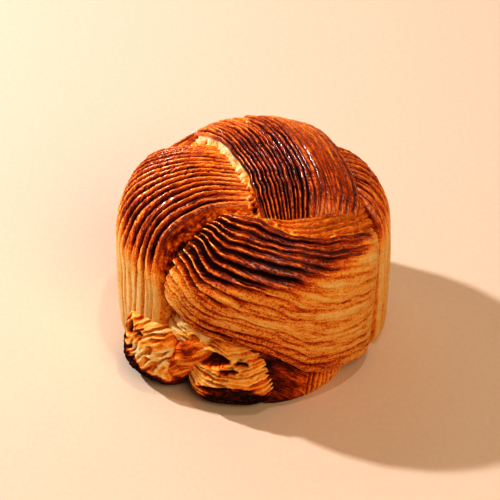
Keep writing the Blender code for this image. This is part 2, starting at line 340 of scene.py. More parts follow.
# Unevenness along the strand: how much, in lumps of how many mm, and which of the strand's noises.
EDGE_WANDER = ((0.42, 30, 1), (0.05, 9, 2), (0.05, 1.1, 13))
LAYER_HEIGHTS = ((1, 18, 5), (0.10, 3, 16))
SIDE_WANDER = 0.5
# How far apart in the noise one layer lies from the next.
LAYER_APART = 7.31
# How much of a ridge's height a split in its crest takes away, and a nick, as shares.
SPLIT_DEPTH, NICK_DEPTH = 0.55, 0.20
# How deep the notches between the short cross ridges are, in mm.
CROSS_DEPTH = 1.2
# How far the layers wave from side to side on the ring's wall, as a share of a layer's width, and the
# lengths down the skin between which that begins, in mm.
WALL_WAVE = 0.50
ON_WALL = (40, 46)
# Shares across the strand over which its layers bend, and along it where they begin to.
BEND_ACROSS = 0.62
BEND_ALONG = (0.30, 0.62)
# The grain that is stretched along the layers is this many mm to one of its units.
LIE_SIZE = 10


def along_route(points, share):
    """Points on the smooth curve through a route's points, at shares of the way along it."""
    points = np.asarray(points, float)
    place = np.clip(share, 0, 1) * (len(points) - 1)
    start = np.minimum(place.astype(int), len(points) - 2)
    t = (place - start)[:, None]
    before, a, b, after = (points[np.clip(start + k, 0, len(points) - 1)] for k in (-1, 0, 1, 2))
    curve = 2 * a + t * (b - before) + t * t * (2 * before - 5 * a + 4 * b - after)
    return (curve + t * t * t * (3 * a - before - 3 * b + after)) / 2


def spread_values(values, share):
    """Values given at even spaces, eased between."""
    eased = along_route([(value, 0) for value in values], np.ravel(share))
    return eased[:, 0].reshape(np.shape(share))


def give_lie(mesh, lie):
    """Gives a mesh its UV map along the layers, from a place for each of its points."""
    corners = np.empty(len(mesh.loops), int)
    mesh.loops.foreach_get("vertex_index", corners)
    mesh.uv_layers.new(name="lie").data.foreach_set("uv", lie[corners].ravel())


def cut_level(shape, height, mesh):
    """Cuts a piece off level, closes it there, points its faces outwards and puts it in its mesh."""
    everything = shape.verts[:] + shape.edges[:] + shape.faces[:]
    bmesh.ops.bisect_plane(shape, geom=everything, plane_co=(0, 0, height), plane_no=(0, 0, -1),
                           clear_outer=True)
    bmesh.ops.holes_fill(shape, edges=shape.edges, sides=0)
    bmesh.ops.triangulate(shape, faces=[face for face in shape.faces if len(face.verts) > 4])
    bmesh.ops.recalc_face_normals(shape, faces=shape.faces)
    shape.to_mesh(mesh)
    shape.free()


@dataclass
class Strand:
    """One length of laminated dough on the loaf, its layers on edge between two lines on the chart.

    Lengths are in mm. Lists of values are spread evenly along the strand, or across it where that is
    said, and eased between. Dark values go from 0, cream, to 1, burnt.
    """

    name: str
    layers: int
    near: list  # the line of its near side
    far: list  # the line of its far side
    lift: list  # how high its shoulders stand above the loaf's skin
    crown: float  # how much more its middle stands up
    rings: int  # how many steps long its mesh is
    grooves: list  # how deep the grooves between its layers are
    evenness: list  # the share of that depth, across
    flanks: tuple  # how far its near and far torn sides spread
    bakes: list  # how dark its crests are
    widths: tuple = (1, 1)  # how wide its layers are beside each other, across
    round: tuple = (0.6, 0.6)  # how its ridges are shaped: wide tops below 1, thin crests above
    crest_at: float = 0.47  # where across a layer its crest stands
    gap: float = 0.2  # how wide the grooves' floors are
    rim: tuple = (0.1, 0.1)  # how much paler the very edges of its crests are: paler dough and painted highlight
    groove_burn_and_shade: float = 0.38  # how much darker its grooves are: burnt crust and painted shade
    face: float = 0.0  # how much paler the far side of each layer is
    pale_from: tuple = (39, 49)  # the lengths down the skin between which it pales
    pale: tuple = (0.3, 0.3)  # how dark it is where it has paled
    crumb: tuple = (0.4, 0.4)  # how dark its near torn side is
    starts: float = 0.3  # the share of its length over which its crown rises
    ends: float = 0.3  # the share over which it falls
    fins: tuple = ()  # the shares of its length at which its first and last layers start
    cross: int = 0  # how many short ridges run across its first half
    drift: float = 0.0  # how far its layers bend to the near side past its middle
    curl: float = 0.0  # how far they bend to the near side at its start
    hem: float = 0.0  # how much darker its far edge is
    wool: float = 1.0  # how rough its torn sides are
    sheen: float = 1.0  # how much of the glaze it took
    raw: float = 0.0  # how much of its top is torn dough
    bow: float = 0.0  # how far its foot bows down the skin, as a share
    seed: float = 1.0

    def set_out(self):
        """Sets out the route on the chart and the lines of points round the section.

        Each line has its layer, its place in it, which side it is on (0 the top, 1 the far side, -1 the
        near side, 2 the underside) and how far down that side it lies.
        """
        lines = [(layer, stop, 0, 0.0) for layer in range(self.layers) for stop in LAYER_STOPS]
        lines.append((self.layers - 1, 1.0, 0, 0.0))
        lines += [(self.layers - 1, 1.0, 1, stop) for stop in FLANK_STOPS]
        lines += [(0, stop, 2, 1.0) for stop in ROOT_STOPS]
        lines += [(0, 0.0, -1, stop) for stop in reversed(FLANK_STOPS)]
        self.layer, self.stop, self.flank, self.down = (np.array(line) for line in zip(*lines))
        self.stop, self.down = self.stop[:, None], self.down[:, None]
        self.top = (self.flank == 0)[:, None]

        self.share = np.linspace(0, 1, self.rings + 1)
        near, far = along_route(self.near, self.share), along_route(self.far, self.share)
        self.width = np.linalg.norm(far - near, axis=1)
        self.outward = (far - near) / self.width[:, None]
        middle = (near + far) / 2
        self.length = np.linalg.norm(np.diff(middle, axis=0), axis=1).sum()
        self.near_side = near + self.outward * SIDE_WANDER * self.ripple(1, 5, 0)[0][:, None]
        self.far_side = far + self.outward * SIDE_WANDER * self.ripple(1, 5, 4)[0][:, None]

    def ripple(self, rows, size, which):
        """Rows of smooth noise along the strand, in lumps of that many mm, from one of its noises."""
        seed = self.seed + which
        return np.array([[noise.noise(Vector((place * self.length / size, row * LAYER_APART, seed)))
                          for place in self.share] for row in range(rows)])

    def ripples(self, rows, parts):
        """Rows of noise added up from several, each with how much of it there is."""
        return sum(much * self.ripple(rows, size, which) for much, size, which in parts)

    def along(self, values):
        """Values spread along the strand, for every line of points."""
        return spread_values(values, self.share)[None]

    def on_chart(self, across):
        """Places on the chart, from shares across the strand."""
        return self.near_side[None] + (self.far_side - self.near_side)[None] * across[..., None]

    def drifted(self, across):
        """How far the layers bend to the near side there."""
        bend = np.sin(np.pi * np.clip(across / BEND_ACROSS, 0, 1))
        return self.drift * smooth(*BEND_ALONG, self.share)[None] * bend

    def layer_edges(self):
        """Where the layers meet, from 0 at the near side to the number of layers at the far one."""
        wander = self.ripples(self.layers + 1, EDGE_WANDER)
        wander[[0, -1]] = 0
        widths = spread_values(self.widths, (np.arange(self.layers) + 0.5) / self.layers)
        even = np.concatenate([[0], np.cumsum(widths)]) * self.layers / widths.sum()
        return np.sort(wander + even[:, None], axis=0)

    def shares_across(self, edges):
        """How far across the strand each point lies, as a share of its width."""
        layer, stop = self.layer, self.stop
        across = edges[layer] + (edges[layer + 1] - edges[layer]) * stop
        across = np.where(self.top, across / self.layers, 0.0)
        across[self.flank == 1] = 1.0
        across[self.flank == 2] = stop[self.flank == 2]
        across = across - self.drifted(across) * self.top
        tucked = np.sin(np.pi * np.clip(across, 0, 1)) ** 0.7 * self.top
        across = across - self.curl * (1 - smooth(0.12, 0.32, self.share))[None] * tucked

        run = np.stack([self.share[None] * self.length + 0 * across, across * self.layers], -1)
        wave = grain(run, (6, 1.5), self.seed + 22)
        on_wall = smooth(*ON_WALL, np.linalg.norm(self.on_chart(across), axis=-1))
        inside = np.sin(np.pi * np.clip(across, 0, 1))
        return across + WALL_WAVE * wave * on_wall * self.top * inside / self.layers

    def ridges(self, run, pressed):
        """How high each point stands between its layer's groove, 0, and its crest, 1."""
        layer, stop = self.layer, self.stop
        skew = math.log(0.5) / math.log(self.crest_at)
        hump = np.sin(np.pi * np.clip(stop, 0, 1) ** skew)
        hump = np.clip((hump - self.gap) / (1 - self.gap), 0, 1)
        flat = smooth(0.0, 0.32, stop) * smooth(1.0, 0.68, stop)
        ridge = hump ** self.along(self.round)
        ridge = ridge * (1 - pressed) + flat ** 0.7 * pressed

        # Some crests are split along their length, and all are nicked.
        split = np.clip(2.6 * self.ripple(self.layers, 15, 3) - 0.1, 0, 1)
        split_at = 0.5 + 0.15 * self.ripple(self.layers, 9, 14)
        ridge = ridge - SPLIT_DEPTH * split[layer] * np.exp(-((stop - split_at[layer]) / 0.08) ** 2)
        nicks = grain(run, (1.0, 0.8), self.seed + 15)
        ridge = ridge - hump * NICK_DEPTH * smooth(0.15, 0.55, nicks) * (1 - 0.8 * pressed)
        ridge = np.clip(ridge, 0, 1)

        near_lip = (layer == 0)[:, None] & (stop < 0.4)
        far_lip = (layer == self.layers - 1)[:, None] & (stop > 0.6)
        return np.where(near_lip | far_lip, np.maximum(ridge, LIP), ridge)

    def crest_heights(self, across, pressed):
        """How high the crests stand above the loaf's skin."""
        swell = np.maximum(1 - np.abs(2 * across - 1) ** 2.4, 0) ** 0.6
        rise = smooth(-0.1, self.starts, self.share) * smooth(-0.1, self.ends, 1 - self.share)
        height = self.along(self.lift) + self.crown * swell * rise[None]
        uneven = self.ripples(self.layers, LAYER_HEIGHTS)
        return height + 0.45 * uneven[self.layer] * (1 - 0.75 * pressed) * self.top

    def groove_depths(self, across, pressed):
        """How deep the grooves are, less where the ring pressed them."""
        layer, stop = self.layer, self.stop
        strength = self.ripple(self.layers + 1, 14, 6)
        strength = strength[layer] * (1 - stop) + strength[layer + 1] * stop
        strength = np.clip(1 + (0.6 + 0.9 * pressed) * strength, 0.15, 1.5)
        depth = self.along(self.grooves) * spread_values(self.evenness, across)
        depth = depth * strength
        shallow = np.minimum(PRESSED_SHARE * depth, PRESSED_DEEPEST)
        return np.maximum(depth + (shallow - depth) * pressed, LEAST_GROOVE)

    def started(self, lift):
        """The heights, with each layer rising as a fin where it starts."""
        tips = np.linspace(*self.fins, self.layers)[:, None]
        tips = tips + 0.03 * self.ripple(self.layers, 1, 8)[:, :1]
        place = self.share[None] + 0.012 * (self.stop - 0.3)
        cut = smooth(tips[self.layer] - 0.03, tips[self.layer] + 0.015, place)
        return FLANK_LIFT + (lift - FLANK_LIFT) * cut

    def cross_notches(self, run):
        """The grooves between the short ridges across the strand."""
        step = self.share[None] * self.cross + 0.35 * grain(run, (6, 5), self.seed + 19)
        notch = 1 - np.abs(np.sin(np.pi * step)) ** 0.6
        return notch * smooth(0.56, 0.48, self.share)[None] * self.top

    def flaky(self, chart, run, ridge, pressed):
        """How far fine leaves and rough crust raise the top."""
        leaves = grain(run, (12, 0.5), self.seed + 17) * 0.16
        leaves = leaves + grain(run, (4, 0.8), self.seed + 18) * 0.08
        rough = grain(chart, 1.6, self.seed) * 0.06 + grain(run, (1.3, 0.6), self.seed + 9) * 0.11
        rough = rough + grain(run, 0.9, self.seed + 10) * 0.12 * ridge * (1 - pressed)
        leaves = leaves * (0.35 + 0.65 * ridge) * (1 - 0.5 * pressed)
        return (leaves + rough * (1 - 0.5 * pressed)) * self.top

    def tear_sides(self, lift):
        """Brings the torn sides down to the loaf, and says how far out and how lumpy they are."""
        lips = {1: lift[self.flank == 0][-1], -1: lift[self.flank == 0][0]}
        spread = np.zeros_like(lift)
        lumpy = np.zeros_like(lift)
        for side, reach in ((1, self.flanks[1]), (-1, self.flanks[0])):
            here = self.flank == side
            go = self.down[here]
            face = np.stack([go * reach + 0 * self.share[None], self.share[None] * self.length + 0 * go], -1)
            wool = grain(face, (1.1, 2.4), self.seed + 20 + side)
            wool += 0.6 * grain(face, (0.6, 1.0), self.seed + 30 + side)
            out = reach * np.interp(go, (0, 0.15, 0.5, 1), (0, 0.03, 0.58, 1))
            out = out - 0.5 * np.sin(go * math.pi) ** 2
            fade = self.wool * np.sin(np.minimum(go * 1.6, 1) * math.pi / 2)
            spread[here] = side * (out + 0.5 * wool * fade)
            fall = (FLANK_LIFT - lips[side]) * go ** 1.15
            lift[here] = lips[side] + fall + 0.7 * wool * fade
            lumpy[here] = wool * fade
        lift[self.flank == 2] = ROOT_LIFT
        return spread, lumpy

    def paled(self, edges, skin):
        """How far each point has paled against the ring, most of it by its layer's middle."""
        middles = (edges[:-1] + edges[1:]) / 2 / self.layers
        middles = self.on_chart(middles - self.drifted(middles))
        layer_skin = np.hypot(middles[..., 0], middles[..., 1])
        layer_skin = layer_skin + 2.5 * self.ripple(self.layers, 11, 11)
        return smooth(*self.pale_from, 0.6 * layer_skin[self.layer] + 0.4 * skin)

    def darkness(self, across, run, ridge, hollow, paled, notch):
        """How dark the crust is: its bake, darker deep in the grooves, partly burnt and partly painted
        shade, darker in the cross notches, and lighter on the crests' edges as painted highlight.
        """
        dark = self.along(self.bakes) * (1 - paled) + self.along(self.pale) * paled
        dark = dark + 0.12 * self.ripple(self.layers, 20, 12)[self.layer]
        # Deep in a groove the crust is darker: partly burnt, partly painted shade.
        dark = dark + hollow ** 0.8 * (self.groove_burn_and_shade * (1 - paled) + 0.27 * paled)
        dark = dark - self.face * smooth(0.45, 0.7, self.stop) * (1 - hollow) * (1 - paled)
        dark = dark + 0.35 * notch
        from_start = smooth(0.15, 0.40, self.share)[None]
        dark = dark + self.hem * smooth(0.66, 0.96, across) * from_start * self.top
        # The very edges of the crests are lighter, partly paler dough and partly painted highlight.
        broken = np.clip(0.75 + 1.3 * grain(run, (3, 1.5), self.seed + 21), 0, 1.5)
        rim = self.along(self.rim) * smooth(0.80, 1.0, ridge)
        return dark - rim * broken * self.top * (1 - 0.8 * paled)

    def lay(self):
        """The points of the strand as (line, ring) arrays, with what the crust needs to know there."""
        self.set_out()
        edges = self.layer_edges()
        across = self.shares_across(edges)
        bowed = 4 * across * (1 - across) * smooth(0.70, 1.0, self.share)[None]
        chart = self.on_chart(across) * (1 + self.bow * bowed)[..., None]
        skin = np.hypot(chart[..., 0], chart[..., 1])
        pressed = smooth(PRESSED_FROM, PRESSED_TO, skin)
        run = np.stack([self.share[None] * self.length + 0 * across, across * self.width[None]], -1)

        ridge = self.ridges(run, pressed)
        depth = self.groove_depths(across, pressed)
        lift = self.crest_heights(across, pressed) - (1 - ridge) * depth
        if self.fins:
            lift = self.started(lift)
        notch = self.cross_notches(run) if self.cross else 0
        lift = lift - CROSS_DEPTH * notch
        ridge = ridge - notch
        lift = lift + self.flaky(chart, run, ridge, pressed)
        spread, lumpy = self.tear_sides(lift)
        chart = chart + self.outward[None] * spread[..., None]

        paled = self.paled(edges, skin)
        hollow = (1 - ridge) * np.clip(depth / (1.2 - 0.6 * pressed), 0, 1) ** 1.5
        flank = self.flank[:, None]
        torn = np.where(np.abs(flank) == 1, smooth(0.0, 0.18, self.down), self.raw) + 0 * lift
        # The torn dough is darker further down the torn sides; it is paler on its lumps and darker between
        # them as painted light and shade.
        crumb = np.where(flank < 0, self.along(self.crumb), 0.45) + 0.3 * self.down ** 2 - 0.50 * lumpy
        lie = np.stack([run[..., 0] / LIE_SIZE, (run[..., 1] + spread + 9 * (flank == 1)) / LIE_SIZE], -1)
        values = {"crest": (1 - hollow) * self.sheen,
                  "bake": self.darkness(across, run, ridge, hollow, paled, notch),
                  "torn": torn, "pale": paled, "crumb": crumb}
        return on_loaf(chart * MM, lift * MM), lie, values

    def make(self):
        """A sheet rolled into the strand's closed section all along its route, shut at both ends."""
        places, lie, values = self.lay()
        lines = len(places)
        shape = bmesh.new()
        bmesh.ops.create_grid(shape, x_segments=lines, y_segments=self.rings, size=1)
        mesh = mesh_from(shape)
        sheet = places_of(mesh)
        line = np.rint((sheet[:, 0] + 1) / 2 * lines).astype(int) % lines
        ring = np.rint((sheet[:, 1] + 1) / 2 * self.rings).astype(int)
        mesh.vertices.foreach_set("co", places[line, ring].ravel())
        fill_values(mesh, {name: numbers[line, ring] for name, numbers in values.items()})
        give_lie(mesh, lie[line, ring])
        shape = bmesh.new()
        shape.from_mesh(mesh)
        bmesh.ops.remove_doubles(shape, verts=shape.verts, dist=0.001 * MM)
        cut_level(shape, STRAND_SOLE, mesh)
        return piece_from(self.name, mesh, crust)


Strand(
    "top_lobe",
    layers=20,
    near=[(-36, 46), (-22, 34), (-14.2, 20), (-8, 8.5), (-2.4, -3.5), (1.0, -14), (4, -23)],
    far=[(4, 58), (14, 45), (19, 31), (24, 16), (29, 2), (31, -8.5), (30.5, -18)],
    lift=[-1.0, 1.4, 3.4, 4.4, 4.3, 3.2, -1.5],
    crown=2.4,
    rings=345,
    grooves=[0.9, 1.3, 1.9, 2.3, 2.3, 2.0, 1.2],
    evenness=[0.6, 1.0, 1.0, 1.0, 0.8, 0.25, 0.08, 0.08, 0.15, 0.3],
    flanks=(3.3, 2.0),
    wool=2.0,
    bakes=[0.48, 0.45, 0.48, 0.60, 0.70, 0.66, 0.42],
    widths=(0.75, 0.75, 0.8, 0.9, 1.2, 1.6, 1.4),
    round=(0.45, 0.5, 0.6),
    gap=0.10,
    rim=(0.06, 0.12),
    groove_burn_and_shade=0.6,
    pale_from=(50, 60),
    crumb=[0.10, 0.0, -0.08, -0.08, 0.04, 0.6, 0.7],
    seed=1.3,
).make()


# The strand down the left: it comes out from under the top strand, goes over the left shoulder and
# down the ring's wall to the cut end at the foot. Seventeen layers, red-brown with bright crests on
# the shoulder, their brightness partly painted highlight, and pale against the wall. Its near side is
# torn, orange and pitted.
Strand(
    "left_lobe",
    layers=17,
    near=[(8, -12), (-2.5, -14.5), (-13, -16), (-24, -21), (-30, -28), (-35, -36.5), (-45, -43.5),
          (-60, -46)],
    far=[(4, 14), (-9, 14), (-23, 18), (-36, 24), (-49, 29), (-61, 31), (-73, 30), (-83, 26)],
    lift=[-2.0, 0.8, 2.6, 2.8, 2.2, 2.4, 2.6, 2.0],
    crown=1.9,
    rings=340,
    grooves=[0.8, 0.9, 1.3, 1.6, 1.6, 1.3, 1.1, 0.9],
    evenness=[1.0, 1.0, 0.9, 0.9, 0.8, 0.8],
    flanks=(4.8, 2.0),
    wool=0.8,
    bakes=[0.42, 0.42, 0.53, 0.58, 0.61, 0.58, 0.48, 0.42],
    round=(0.8, 1.0, 1.0, 0.9),
    gap=0.06,
    rim=(0.10, 0.16, 0.26, 0.26),
    groove_burn_and_shade=0.42,
    pale_from=(37, 48),
    pale=(0.24, 0.22, 0.14, 0.07),
    crumb=[0.4, 0.45, 0.52, 0.64, 0.58, 0.42, 0.3, 0.3],
    ends=0.1,
    bow=0.19,
    seed=17.1,
).make()


# The strand round the front: its fifteen layers begin as separate fins at the torn side of the left
# strand, sweep right under the end of the top strand, and go round to the right-hand side. Above the
# shoulder they are dark with deep grooves; below it the ring pressed them flat and left them pale.
Strand(
    "front_lobe",
    layers=15,
    near=[(-14, -13), (-7.5, -18), (1, -20.5), (11, -25), (22, -23.5), (34, -16), (42, -9)],
    far=[(-39, -33), (-31, -40.5), (-21.5, -52.5), (0, -60), (31, -66), (62, -47), (76, -26)],
    lift=[-1.5, 2.6, 3.1, 3.3, 3.4, 3.4, 0.6],
    crown=1.4,
    rings=400,
    grooves=[3.0, 2.8, 2.0, 1.6, 1.4, 1.2, 0.9],
    evenness=[0.4, 0.55, 0.9, 1.0, 1.0, 0.9],
    flanks=(5.0, 1.5),
    bakes=[0.48, 0.54, 0.64, 0.72, 0.72, 0.66, 0.50],
    round=(1.5, 1.3, 0.5, 0.32, 0.3, 0.3),
    widths=(1.1, 1.0, 1.0, 1.0, 1.1, 1.2, 1.2),
    crest_at=0.70,
    gap=0.10,
    rim=(0.46, 0.40, 0.16, 0.06, 0.06, 0.06),
    groove_burn_and_shade=0.50,
    pale_from=(37, 42),
    pale=(0.28, 0.28, 0.30, 0.26, 0.17, 0.06),
    crumb=(0.40, 0.4),
    fins=(0.15, 0.09),
    drift=0.09,
    curl=0.09,
    hem=0.22,
    seed=33.7,
).make()


# The strand on the right: it comes out from under the far side of the top strand and goes down the
# right-hand side. Its near side is a smooth hollow beside the end of the front strand, painted dark red
# near its top, partly as painted shade.
Strand(
    "right_lobe",
    layers=12,
    near=[(18, -3), (30, -4), (37, -9), (47, -15), (62, -21), (80, -28)],
    far=[(12, 20), (24, 25), (37, 31), (49, 37), (61, 44), (73, 51)],
    lift=[-1.5, 1.6, 2.6, 2.7, 3.0, 2.4],
    crown=1.7,
    rings=200,
    grooves=[0.9, 1.0, 1.3, 1.3, 1.1, 0.9],
    evenness=[1.0, 1.0, 0.9, 1.0],
    flanks=(5.0, 1.5),
    bakes=[0.54, 0.54, 0.50, 0.42, 0.34, 0.32],
    pale=(0.06, 0.06),
    wool=0.6,
    crumb=(0.96, 0.94, 0.60, 0.42, 0.42),
    ends=0.1,
    bow=0.13,
    seed=51.9,
).make()


# The torn seam where the top strand was pressed down onto the front one: a narrow band of stretched
# orange dough between them, pulled out in fibres along its length.
Strand(
    "torn_seam",
    layers=5,
    near=[(2, -21), (9.5, -25.5), (16, -27), (23, -25), (31, -20), (40, -12)],
    far=[(2, -17), (9.5, -19), (16.5, -17), (23, -13.5), (28, -9), (34, 0)],
    lift=[0.0, 1.2, 1.7, 2.0, 2.0, 1.1],
    crown=0.7,
    rings=150,
    grooves=[0.6, 0.7, 0.8, 0.8, 0.7, 0.6],
    evenness=[1.0, 1.0],
    flanks=(0.8, 0.8),
    bakes=[0.54, 0.54, 0.60, 0.66, 0.60, 0.50],
    raw=0.6,
    round=(0.8, 0.8),
    pale_from=(100, 120),
    crumb=(0.5, 0.5),
    seed=44.4,
).make()


# The strand round the back, which the others cross: fifteen layers from under the right-hand strand
# to under the left-hand one, dark over the shoulder and pale where the ring's wall pressed them.
Strand(
    "back_lobe",
    layers=15,
    near=[(35, 12), (24, 26), (6, 34), (-10, 32), (-21, 21), (-36, 15), (-54, 8)],
    far=[(77, 34), (54, 64), (14, 84), (-26, 80), (-57, 60), (-73, 36), (-76, 18)],
    lift=[-1.5, 1.4, 2.6, 2.6, 1.5, 0.6, -1.5],
    crown=1.4,
    rings=220,
    grooves=[1.2, 1.3, 1.5, 1.5, 1.4, 1.2, 1.0],
    evenness=[1.0, 1.0, 0.9, 1.0],
    flanks=(3.5, 1.5),
    bakes=[0.5, 0.54, 0.57, 0.58, 0.56, 0.5, 0.5],
    crest_at=0.40,
    face=0.12,
    pale=(0.3, 0.3),
    crumb=(0.45, 0.45),
    seed=70.3,
).make()


# The strand tucked in at the foot, under the front strand: a dark, pitted body beside the cut end, and
# to the right of it the short pale ridges of the layers that turn in under the cruffin.
Strand(
    "foot_lobe",
    layers=4,
    near=[(64, -44), (48, -58), (30, -62), (10, -59), (-6, -60)],
    far=[(64, -50), (55, -68), (33, -80), (9, -87), (-8, -88)],
    lift=[-1.5, 0.6, 2.2, 2.8, 1.0],
    crown=1.2,
    rings=240,
    grooves=[0.3, 0.3, 0.4, 0.4, 0.4],
    evenness=[1.0, 1.0],
    flanks=(1.0, 1.0),
    bakes=[0.34, 0.34, 0.34, 0.34, 0.56, 0.84, 0.90, 0.94, 0.92],
    pale_from=(100, 120),
    crumb=(0.6, 0.6),
    cross=24,
    sheen=0.5,
    seed=88.8,
).make()


# The cut ends at the foot: the left strand's end, torn open in pale broken leaves round a few deep
# holes, with a burnt rim and foot, and the front one, whose leaves sag in thin walls round a long hole.
# Between them lie a smooth fold of dough and a pocket of pale crumb.

# Cut off this far up, above the strands' soles, so that no two faces lie in one plane.
END_SOLE = 0.2 * MM
# How far apart in the noise one row of cells lies from the next.
CELL_APART = 7.3
# How far behind its middle the flat back of a stub lies, as a share of its reach.
STUB_BACK = -0.6


@dataclass
class Stub:
    """A sheet swelled into a blunt oval stub of dough with its face outwards.

    Lengths are in mm and angles in degrees. Dark values go from 0, cream, to 1, burnt.
    """

    name: str
    middle: tuple
    facing: float  # the way it faces, from the right round by the back
    tilt: float  # how far up it faces
    lean: float  # how far it is rolled to its side
    reach: float  # how far out it comes from its middle
    width: float  # half its width
    height: float  # half its height
    cells: tuple  # how long and how high the cells between its leaves are
    lie: float  # the angle that the leaves run at
    sag: float  # how far they hang in the middle, as a share of the width
    relief: float  # how deep the cells are
    holes: tuple  # single holes: place across and up, half width, half height and depth
    bakes: tuple  # how dark its walls, cells, rim and foot are; the cells' dark is partly painted shade
    seed: float
    stir: float = 1.0  # how far the leaves are bent and blotched
    rim: tuple = (0.72, 1.0)  # the shares from the middle between which its rim begins
    burnt: tuple = (-0.36, -0.60)  # the shares of its height between which its foot begins
    slant: float = 0.0  # how much higher the foot comes to one side
    segments: tuple = (150, 130)  # how many steps its sheet has

    def sheet(self):
        """A flat sheet closed behind with a back, one unit each way from its middle."""
        shape = bmesh.new()
        bmesh.ops.create_grid(shape, x_segments=self.segments[0], y_segments=self.segments[1], size=1)
        rim = [edge for edge in shape.edges if edge.is_boundary]
        back = bmesh.ops.extrude_edge_only(shape, edges=rim)["geom"]
        for vert in back:
            if isinstance(vert, bmesh.types.BMVert):
                vert.co.z = -1
        bmesh.ops.holes_fill(shape, edges=[edge for edge in shape.edges if edge.is_boundary], sides=0)
        bmesh.ops.triangulate(shape, faces=[face for face in shape.faces if len(face.verts) > 4])
        bmesh.ops.recalc_face_normals(shape, faces=shape.faces)
        return mesh_from(shape)

    def leaves(self, face, side):
        """Places along the leaves and across them, and how near a cell's middle and how open it is."""
        lie = math.radians(self.lie)
        along = face[:, 0] * math.cos(lie) + face[:, 1] * math.sin(lie)
        level = face[:, 1] * math.cos(lie) - face[:, 0] * math.sin(lie)
        level = level + self.sag * (1 - side ** 2) * self.width
        bent = 1.2 * grain(face, 6.0, self.seed + 4) + 0.35 * grain(face, 1.8, self.seed + 5)
        level = level + self.stir * bent
        leaf = level / self.cells[1]
        row = np.floor(leaf)
        off = 1 - 2 * np.abs(leaf - row - 0.5)
        parted = grain(np.stack([along / self.cells[0], row * CELL_APART], -1), 1.0, self.seed)
        parted = smooth(-0.25, 0.30, parted)
        return along, level, off, smooth(0.0, 0.30, off - (1 - 0.82 * parted))

    def holed(self, face, side, rise):
        """How deep the single holes are, and how much of a lip they have round them."""
        dent = np.zeros_like(side)
        lipped = np.zeros_like(side)
        for across, up, half_width, half_height, depth in self.holes:
            away = np.hypot((side - across) / half_width, (rise - up) / half_height)
            away = away + 0.15 * grain(face, 1.6, self.seed + 7)
            dent = np.maximum(dent, depth * smooth(1.1, 0.8, away))
            lipped = np.maximum(lipped, smooth(0.9, 1.15, away) * smooth(1.6, 1.3, away))
        return dent, lipped

    def placed(self, ahead, side, rise):
        """Points in metres, from mm ahead of the middle and shares to the side and up."""
        facing, tilt, lean = (math.radians(angle) for angle in (self.facing, self.tilt, self.lean))
        outward = np.array([math.cos(facing) * math.cos(tilt), math.sin(facing) * math.cos(tilt),
                            math.sin(tilt)])
        level_way = np.array([-math.sin(facing), math.cos(facing), 0])
        sideways = level_way * math.cos(lean) + np.cross(outward, level_way) * math.sin(lean)
        upward = np.cross(outward, sideways)
        places = (np.array(self.middle) + outward * ahead[:, None]
                  + sideways * (self.width * side)[:, None] + upward * (self.height * rise)[:, None])
        return places * MM

    def make(self):
        """The sheet swelled to an oval, with its leaves, cells, holes, rim and foot."""
        mesh = self.sheet()
        sheet = places_of(mesh)
        side = sheet[:, 0] * np.sqrt(1 - sheet[:, 1] ** 2 / 2)
        rise = sheet[:, 1] * np.sqrt(1 - sheet[:, 0] ** 2 / 2)
        out = np.minimum(np.hypot(side, rise), 1)
        turn = np.sin(out * math.pi / 2) / np.maximum(out, 1e-6)
        ahead = np.cos(out * math.pi / 2) ** 0.6
        side, rise = side * turn, rise * turn
        cubed = (np.abs(side) ** 3 + np.abs(rise) ** 3) ** (1 / 3)
        square = np.hypot(side, rise) / np.maximum(cubed, 1e-6)
        face = np.stack([side * self.width, rise * self.height], -1)
        front = smooth(0.15, 0.75, ahead)

        along, level, off, wide = self.leaves(face, side)
        dent, lipped = self.holed(face, side, rise)
        lumps = grain(face, 5.5, self.seed)
        fine = grain(face, 1.1, self.seed + 2) + 0.6 * grain(face, 0.5, self.seed + 3)
        fine = fine + 1.4 * grain(np.stack([along, level], -1), (3.0, 0.45), self.seed + 6)
        pits = smooth(0.12, 0.42, grain(face, 1.0, self.seed + 8))
        edge = smooth(*self.rim, out + 0.10 * lumps)
        low = smooth(*self.burnt, rise + self.slant * side + 0.20 * lumps)
        charred = np.maximum(edge, low)
        wide = wide * (1 - lipped) * (1 - edge)
        drop = self.relief * wide * (1 - 0.6 * charred) - 0.35 * lipped
        drop = drop * front + dent * front - 0.6 * lumps * front
        drop = drop + (0.8 * pits * charred - 0.18 * fine) * front
        ahead = np.where(sheet[:, 2] < -0.5, STUB_BACK, ahead)
        places = self.placed(self.reach * ahead - drop, side * square, rise * square)
        mesh.vertices.foreach_set("co", places.ravel())

        walls, cavities, rimmed, foot = self.bakes
        # The leaves' edges are paler and the cells darker into their middles and hollows, partly painted
        # shade.
        hollow = np.clip(wide + dent / 1.6, 0, 1)
        bake = walls + (cavities - walls) * np.clip(0.7 * smooth(0.1, 0.5, off) + hollow, 0, 1)
        bake = bake + 0.10 * lumps + (0.08 + 0.14 * self.stir) * grain(face, 3.4, self.seed + 9)
        # The single holes are painted near black as painted shade deep inside them.
        bake = bake + (0.84 - bake) * smooth(0.3, 1.4, dent)
        # The rim takes its own darkness: burnt on the left tail, pale on the front tail and the fold, where
        # the pale is partly painted highlight.
        bake = bake + (rimmed - bake) * edge
        bake = bake + (foot - bake) * low + 0.2 * pits * charred
        fill_values(mesh, {"crest": 0.5 - 0.4 * hollow, "bake": bake, "torn": 0 * side,
                           "pale": 0.4 + 0 * side, "crumb": 0.3 + 0 * side})
        give_lie(mesh, np.stack([along, level], -1) / LIE_SIZE)
        shape = bmesh.new()
        shape.from_mesh(mesh)
        cut_level(shape, END_SOLE, mesh)
        return piece_from(self.name, mesh, crust)


